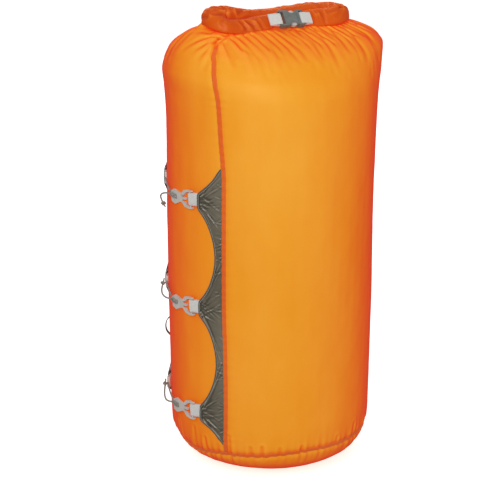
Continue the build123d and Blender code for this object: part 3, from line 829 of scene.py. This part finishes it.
def flap_edge(side, height):
    """The angle from -X of a flap's free edge at a height."""
    edge, waist, seam = (RADIUS * math.sin(math.radians(a))
                         for a in (EDGE[side], SEAM_ANGLE - SCALLOP, SEAM_ANGLE + TIP_OVER))
    rise = waist - edge
    across = np.full(height.shape, edge)
    upper, middle, lower = TAB_HEIGHTS.values()
    for top, bottom in ((upper, middle), (middle, lower)):
        half = (top - bottom) / 2 - HALF_TAB
        from_middle = np.abs(height - (top + bottom) / 2)
        arc = (half**2 + rise**2) / (2 * rise)
        scallop = np.sqrt(np.maximum(arc**2 - np.minimum(from_middle, half)**2, 0)) - (arc - rise)
        across = np.where(from_middle < half, edge + scallop, across)
    for start, tip in ((upper + HALF_TAB, FLAP_TOP), (lower - HALF_TAB, FLAP_BOTTOM)):
        share = (height - start) / (tip - start)
        bow = monotone(np.clip(share, 0, 1), [0, 0.5, 1], [edge, edge + 0.62 * (seam - edge), seam])
        across = np.where(share > 0, bow, across)
    return np.degrees(np.arcsin(across / RADIUS))


def flap_lift(angle, height, side):
    """A flap stands off the skin where a tab pulls on it."""
    lift = np.full(np.shape(angle), FLAP_LIFT)
    for tab in TAB_HEIGHTS.values():
        gap = np.hypot(np.radians(angle - EDGE[side]) * RADIUS, (height - tab) * 0.5)
        lift = lift + TAB_LIFT * np.exp(-(gap / TAB_REACH) ** 2)
    return lift


def flap_folds(side, angle, height):
    """Fine folds that fan out of the tab corners, and shorter ones across the waists."""
    place = np.stack([np.radians(angle) * RADIUS, height], -1)
    total = 0.25 * MM * waves(np.concatenate([place, place[..., :1] * 0], -1), 0.02, 17, 3)
    draw = random.Random(7 if side == "front" else 8)
    edge, seam = math.radians(EDGE[side]) * RADIUS, math.radians(SEAM_ANGLE) * RADIUS
    lines = []
    for tab in TAB_HEIGHTS.values():
        for corner in (-1, 1):
            for _ in range(11):
                slope = draw.uniform(-0.9, 2.6) * corner
                reach = (seam - edge) * draw.uniform(0.5, 1.0)
                start = np.array([edge + draw.uniform(1, 5) * MM,
                                  tab + corner * HALF_TAB * draw.uniform(0.2, 0.95)])
                lines.append((start, start + np.array([reach, reach * slope]), draw.uniform(0.7, 1.5)))
    for _ in range(46):
        z = draw.uniform(FLAP_BOTTOM, FLAP_TOP)
        end = np.array([seam - draw.uniform(7, 17) * MM, z + draw.uniform(-7, 7) * MM])
        lines.append((np.array([seam - 1 * MM, z]), end, draw.uniform(0.5, 1.2)))
    for start, end, depth in lines:
        gap, share = distance_to(place, np.array([start, end]))
        fold = np.exp(-(gap / (1.1 * MM)) ** 2) - 0.7 * np.exp(-((gap - 2.1 * MM) / (1.3 * MM)) ** 2)
        total += depth * MM * (1 - share) ** 0.5 * fold
    return total


def flap_point(side, angle, height, lift):
    """A point on a flap; the rear one is the front one's mirror, at its own angles."""
    phi = 90 - angle if side == "front" else 90 + angle
    return skin(phi, height, lift)


SEAM_OVERLAP, LEAST_WIDTH = 0.9, 0.12  # degrees under the seam tape, and between the seam and a tip's edge
for side in ("front", "rear"):
    heights = np.linspace(FLAP_BOTTOM + 2 * MM, FLAP_TOP - 2 * MM, 400)
    share = np.linspace(0, 1, 44)
    edge = flap_edge(side, heights)[:, None]
    seam = np.abs(90 - seam_phi(side, heights))[:, None] - SEAM_OVERLAP
    edge = np.minimum(edge, seam - LEAST_WIDTH)
    angle = seam + (edge - seam) * share[None, :]
    height = np.broadcast_to(heights[:, None], angle.shape)
    settle = smooth(share, 0, 0.12)[None, :] * smooth(1 - share, -0.05, 0.06)[None, :]
    folds = flap_folds(side, angle, height) * settle
    cloth = flap_point(side, angle, height, flap_lift(angle, height, side) + np.maximum(folds, -0.45 * MM))
    uv = np.stack([np.radians(angle) * RADIUS, height], -1)
    flap = grid_object(side + "_side_flap", cloth, uv)
    thicker = flap.modifiers.new("thickness", "SOLIDIFY")
    thicker.thickness = 0.35 * MM
    thicker.offset = 1.0 if side == "front" else -1.0
    # fold heights for the painted shade and painted highlight in the flap's colour
    paint_folds(flap, folds.ravel(), 1.3 * MM)
    dressed(flap, FLAP, "flap_fabric", "bag", side + "_flap")

    rim = flap_point(side, edge[:, 0], heights, flap_lift(edge[:, 0], heights, side) + 0.35 * MM)
    rim = resampled(rim, 1.0 * MM)
    out = unit(rim * [1, 1, 0])
    across = unit(np.cross(unit(np.gradient(rim, axis=0)), out))
    inward = across * (-1 if side == "front" else 1)
    binding = ribbon(side + "_flap_edge_binding", rim + inward * 1.1 * MM, across, 2.6 * MM, 1.3 * MM)
    dressed(binding, BINDING, "flap_binding", "bag", side + "_flap_binding")
    thread_line = rim - inward * 0.35 * MM + out * 0.3 * MM
    dressed(cord_tube(side + "_flap_edge_thread", thread_line, 0.8 * MM, 8), PIPING, "flap_binding", "bag")

# ---- webbing tabs
WEB_THICK, BAR_HOLE, TAIL_LIFT = 1.2 * MM, 1.95 * MM, 1.5 * MM
REAR_LOOP_ANGLE, REAR_LOOP_RADIUS, REAR_HOLE = -24.8, 155.0 * MM, 1.5 * MM
for name, height in TAB_HEIGHTS.items():
    for side, bar, rise, axis, hole in (
            ("front", on_hook(name, CROSSBAR / MM, 0, 0), 1.6 * MM, HOOK_ACROSS, BAR_HOLE),
            ("rear", around(REAR_LOOP_ANGLE, REAR_LOOP_RADIUS, height), 0.0, UP, REAR_HOLE)):
        tail = flap_point(side, EDGE[side] + 2.0, height + rise, TAIL_LIFT)
        tab = strap_loop(side + "_tab_" + name, bar, tail, axis, hole, WEBBING_WIDTH - 1.2 * MM, WEB_THICK)
        dressed(tab, WEBBING, "webbing", "bag", side + "_web_loop_" + name)

# the loop of thin webbing: its arch is (share of half its height, share of how far it stands out)
EYE_ANGLE, EYE_HEIGHT, EYE_HALF, EYE_OUT = -30.0, 190 * MM, 15 * MM, 8.5 * MM
EYE_ARCH = [(-1.12, 0.03), (-1.0, 0.06), (-0.86, 0.36), (-0.55, 0.8), (-0.1, 0.98), (0.4, 0.88), (0.8, 0.5),
            (0.97, 0.1), (1.1, 0.03)]
EYE_FOOT = RADIUS + 0.9 * MM
line = spline_points("loop", [around(EYE_ANGLE, EYE_FOOT + rise * EYE_OUT, EYE_HEIGHT + share * EYE_HALF)
                              for share, rise in EYE_ARCH])
eye = strap("side_eye", line, around(EYE_ANGLE + 90, 1, 0), 7 * MM, 1.4 * MM, waist=0.3)
dressed(eye, DARK_WEBBING, "dark_webbing", "bag", "side_loop")

# ---- rolled closure
ROLL_TILT = math.radians(1.8)
ROLL_X = np.array([math.cos(ROLL_TILT), 0, -math.sin(ROLL_TILT)])
ROLL_Z = np.array([math.sin(ROLL_TILT), 0, math.cos(ROLL_TILT)])
ROLL_CENTRE = np.array([4.5, -9.5, 677.0]) * MM
LIMB_Y, TURN_X = 18.5 * MM, 78.5 * MM
LEFT_END, RIGHT_END = -17.5 * MM, 40.0 * MM
TURN_LENGTH = math.pi * LIMB_Y


def in_roll(x, y, z):
    """A point in the roll's own directions: along it, back and up, in metres."""
    return (ROLL_CENTRE + np.asarray(x)[..., None] * ROLL_X + np.asarray(z)[..., None] * ROLL_Z
            + np.asarray(y)[..., None] * np.array([0, 1.0, 0]))


def ring_place(run):
    """(x, y) and the outward direction on the ring's middle line, a distance from the left limb's end."""
    first = LEFT_END + TURN_X
    rear = first + TURN_LENGTH
    last = rear + 2 * TURN_X
    run = np.asarray(run, float)
    turn_left = np.clip((run - first) / TURN_LENGTH, 0, 1) * math.pi
    turn_right = np.clip((run - last) / TURN_LENGTH, 0, 1) * math.pi
    where = [run < first, run < rear, run < last, run < last + TURN_LENGTH]
    x = np.select(where, [LEFT_END - run, -TURN_X - LIMB_Y * np.sin(turn_left), run - rear - TURN_X,
                          TURN_X + LIMB_Y * np.sin(turn_right)], TURN_X - (run - last - TURN_LENGTH))
    y = np.select(where, [-LIMB_Y + 0 * run, -LIMB_Y * np.cos(turn_left), LIMB_Y + 0 * run,
                          LIMB_Y * np.cos(turn_right)], -LIMB_Y)
    facing = np.where(run < last - TURN_X, turn_left, math.pi + turn_right)
    return x, y, np.stack([-np.sin(facing), -np.cos(facing)], -1)


RING_LENGTH = LEFT_END + TURN_X + 2 * TURN_LENGTH + 2 * TURN_X + TURN_X - RIGHT_END
APEX = LEFT_END + TURN_X + TURN_LENGTH + 2 * TURN_X + TURN_LENGTH / 2
# along the ring, from the left limb's end in mm: the top edge's height, the foot's, the outer face's reach
# from the middle line, and how far that face leans back for each unit of height
RING_STATIONS = [0, 20, 40, 62, 93, 122, 160, 192, 225, 260, 278, 310, 340, 355, 373]
TOP_LINE = [3.5, 2, -0.5, 1, 13, 13.5, 7.5, 6.5, 10, 12.5, 12, 12.5, 9.5, 8.5, 7]
FOOT_LINE = [-14, -17, -20, -18.5, -12, -12, -13, -13, -13, -13, -12, -11, -13.5, -14, -13]
REACH_LINE = [14, 17, 18, 17.5, 17, 17, 17, 17, 17, 17, 17, 17, 17.5, 17, 14]
LEAN_LINE = [0.72, 0.72, 0.68, 0.42, 0.16, 0.2, 0.3, 0.3, 0.3, 0.2, 0.12, 0.16, 0.5, 0.7, 0.72]


def boxy(wave):
    """A sine or cosine made squarer, for the roll's section."""
    return np.sign(wave) * np.abs(wave) ** 0.66


def roll_point(run, turn, out=0.0):
    """A point on the roll's skin: run along the ring, turn round its section (0 outwards, 90 up), degrees."""
    run, turn = np.broadcast_arrays(np.asarray(run, float), np.radians(np.asarray(turn, float)))
    x, y, outward = ring_place(run)
    top, foot, reach, lean = (monotone(run / MM, RING_STATIONS, line)
                              for line in (TOP_LINE, FOOT_LINE, REACH_LINE, LEAN_LINE))
    rise = boxy(np.sin(turn)) * ((top - foot) / 2 * MM + out) + (top + foot) / 2 * MM
    outer = reach * MM - lean * (rise - foot * MM)
    inner = LIMB_Y - 0.4 * MM
    flat = (outer - inner) / 2 + boxy(np.cos(turn)) * ((outer + inner) / 2 + out)
    return in_roll(x + outward[..., 0] * flat, y + outward[..., 1] * flat, rise)


# folds on the roll: (distance along the ring mm, angle round the section), depth and width in mm
ROLL_FOLDS = [
    ([(70, 52), (72, 20), (69, 0), (73, -38)], 1.0, 1.8), ([(48, 46), (43, 8), (38, -30)], 1.6, 2.4),
    ([(37, 44), (30, 6), (24, -34)], 1.9, 2.6), ([(22, 40), (17, 0), (12, -40)], 1.1, 2.2),
    ([(76, 100), (82, 62), (96, 30)], 1.5, 2.4), ([(94, 118), (102, 70), (108, 20)], 1.6, 2.6),
    ([(114, 140), (114, 84), (118, 30)], 1.8, 2.8), ([(86, 20), (98, -12), (114, -40)], 1.4, 2.8),
    ([(314, 110), (318, 66), (312, 34)], 1.5, 2.6), ([(316, 84), (328, 56), (342, 40)], 1.5, 2.2),
    ([(316, 84), (326, 40), (332, 6)], 1.4, 2.2), ([(312, 84), (306, 44), (302, 8)], 1.5, 2.4),
    ([(308, 100), (292, 92), (278, 100)], 1.3, 2.8), ([(352, 56), (350, 10), (348, -32)], 1.6, 2.2),
    ([(366, 48), (364, 6), (363, -30)], 1.3, 2.2), ([(140, 150), (152, 96), (170, 70)], 1.2, 3.2),
    ([(246, 66), (260, 96), (272, 140)], 1.2, 3.2),
]
draw = random.Random(23)
for _ in range(40):
    start, angle = draw.uniform(6, 368), draw.uniform(-40, 190)
    ROLL_FOLDS.append(([(start, angle), (start + draw.uniform(-9, 9), angle + draw.uniform(22, 48))],
                       draw.uniform(0.3, 0.9), draw.uniform(1.6, 2.6)))


def roll_creased(place):
    """How far the folds alone move the rolled cloth, in metres."""
    total = np.zeros(place.shape[:-1])
    for points, depth, width in ROLL_FOLDS:
        line = np.array(points, float)
        steps = np.linspace(0, len(line) - 1, 5 * len(line))
        path = np.stack([np.interp(steps, np.arange(len(line)), line[:, k]) for k in range(2)], 1)
        gap, share = distance_to(place, roll_point(path[:, 0] * MM, path[:, 1]))
        fold = 0.6 * np.exp(-((gap / MM - 2.0 * width) / width) ** 2) - np.exp(-(gap / (width * MM)) ** 2)
        total += depth * MM * (1 - 0.6 * share) * fold
    return total


def roll_relief(place, run, turn):
    """How far the rolled cloth stands out of its smooth shape."""
    total = roll_creased(place)
    total += 0.6 * MM * waves(place, 0.06, 31, 3) + 0.16 * MM * waves(place, 0.016, 33, 2)
    # the free edge of the last turn, a small step along the foot of the roll
    edge = -38 + 7 * np.sin(run / (31 * MM)) + 3 * np.sin(run / (11 * MM))
    total += 0.8 * MM * smooth(turn, edge - 2.5, edge + 2.5) * (1 - smooth(turn, 150, 200))
    return total


def roll_piece(name, start, end, body, *replaced):
    """The rolled cloth from one distance along the ring to another."""
    runs = np.linspace(start, end, int((end - start) / (1.5 * MM)))
    turns = np.linspace(-90, 270, 96, endpoint=False)
    run, turn = np.meshgrid(runs, turns, indexing="ij")
    place = roll_point(run, turn)
    smooth_out = unit(roll_point(run, turn, 1 * MM) - place)
    folded = roll_creased(place).ravel()
    place = place + smooth_out * roll_relief(place, run, turn)[..., None]
    caps = []
    for ring, side in ((place[0], start), (place[-1], end)):
        middle = ring.mean(0)
        outward = ring_place(np.array([side]))[2][0]
        ahead = in_roll(-outward[1], outward[0], 0.0) - ROLL_CENTRE
        bulge = 5 * MM if side in (0.0, RING_LENGTH) else 0.4 * MM
        caps.append([middle + (ring - middle) * math.cos(a)
                     + (ahead if side == start else -ahead) * math.sin(a) * bulge
                     for a in np.radians([78, 55, 30])])
    made = tube_object(name, np.array(caps[0] + list(place) + caps[1][::-1]))
    # fold heights for the painted shade and painted highlight in the rolled cloth's colour
    paint_folds(made, np.concatenate([np.zeros(3 * len(turns)), folded]), 2.4 * MM)
    return dressed(made, ROLL_ORANGE, "shell_fabric", body, *replaced)


OVERLAP = 1.5 * MM  # of the two pieces of the roll
roll = roll_piece("rolled_top", 0.0, APEX + OVERLAP, None, "roll_back", "roll_left", "closure_stiffener")
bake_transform(roll)
roll_tip = roll_piece("rolled_top_right", APEX - OVERLAP, RING_LENGTH, "release_end", "roll_right")

# ---- buckle and its webbing
BUCKLE_AT = np.array([12.0, -26.0, 0.0]) * MM
BUCKLE_LEAN = math.radians(46)
BAR_AXIS = np.array([0, math.sin(BUCKLE_LEAN), 0]) + ROLL_Z * math.cos(BUCKLE_LEAN)
BAR_OUT = 16.9 * MM
for name, side, limb_end, body in (("left", -1, LEFT_END, "bag"), ("right", 1, RIGHT_END, "release_end")):
    bar = in_roll(BUCKLE_AT[0] + side * BAR_OUT, BUCKLE_AT[1], BUCKLE_AT[2])
    tail = in_roll(limb_end + side * 4.0 * MM, BUCKLE_AT[1], BUCKLE_AT[2])
    web = strap_loop("closure_web_" + name, bar, tail, BAR_AXIS, 2.05 * MM,
                     WEBBING_WIDTH - 0.6 * MM, WEB_THICK, 0.0)
    dressed(web, WEBBING, "webbing", body, "web_" + name)

# CAD parts shown as they are, each with its own material and softened edges
for name, finish, edge in [("hook_" + tab, HOOK, 0.45 * MM) for tab in TAB_HEIGHTS] + [
        ("buckle_socket", BUCKLE, 0.35 * MM), ("buckle_plug", BUCKLE, 0.35 * MM),
        ("prong_upper", PRONG, 0.25 * MM), ("prong_lower", PRONG, 0.25 * MM)]:
    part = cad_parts[name]
    part.data.materials.clear()
    part.data.materials.append(finish)
    soften = part.modifiers.new("soft_edges", "BEVEL")
    soften.width = edge
    soften.segments = 3
    soften.limit_method = "ANGLE"
    soften.angle_limit = math.radians(38)

# ---- floor and light
bpy.ops.mesh.primitive_circle_add(vertices=96, radius=30, fill_type="NGON", location=(0, 0, -0.0005))
floor = bpy.context.object
floor.name = "floor"
floor.data.materials.append(material("pale_floor", (0.9, 0.9, 0.9), 0.9, Emission_Color=(1, 1, 1, 1),
                                     Emission_Strength=0.7)[0])
floor.visible_diffuse = False
floor.visible_glossy = False

world = bpy.data.worlds.new("studio")
world.use_nodes = True
background = world.node_tree.nodes["Background"]
background.inputs["Color"].default_value = (1, 1, 1, 1)
background.inputs["Strength"].default_value = 0.40
bpy.context.scene.world = world


SACK_MIDDLE = Vector((0, 0, 0.36))
for name, place, size, watts in (
        ("key", (-1.15, -2.0, 1.5), (1.3, 1.3), 26.5), ("fill", (1.9, -1.6, 0.9), (1.2, 1.6), 4),
        ("top", (0.1, 0.3, 2.4), (1.6, 1.6), 4), ("rear", (0.6, 2.4, 1.2), (1.6, 1.6), 12)):
    light = linked(name, bpy.data.lights.new(name, "AREA"))
    light.data.shape = "RECTANGLE"
    light.data.size, light.data.size_y = size
    light.data.energy = watts
    light.location = place
    light.rotation_euler = (SACK_MIDDLE - Vector(place)).to_track_quat("-Z", "Y").to_euler()

bpy.context.scene.view_settings.view_transform = "Standard"
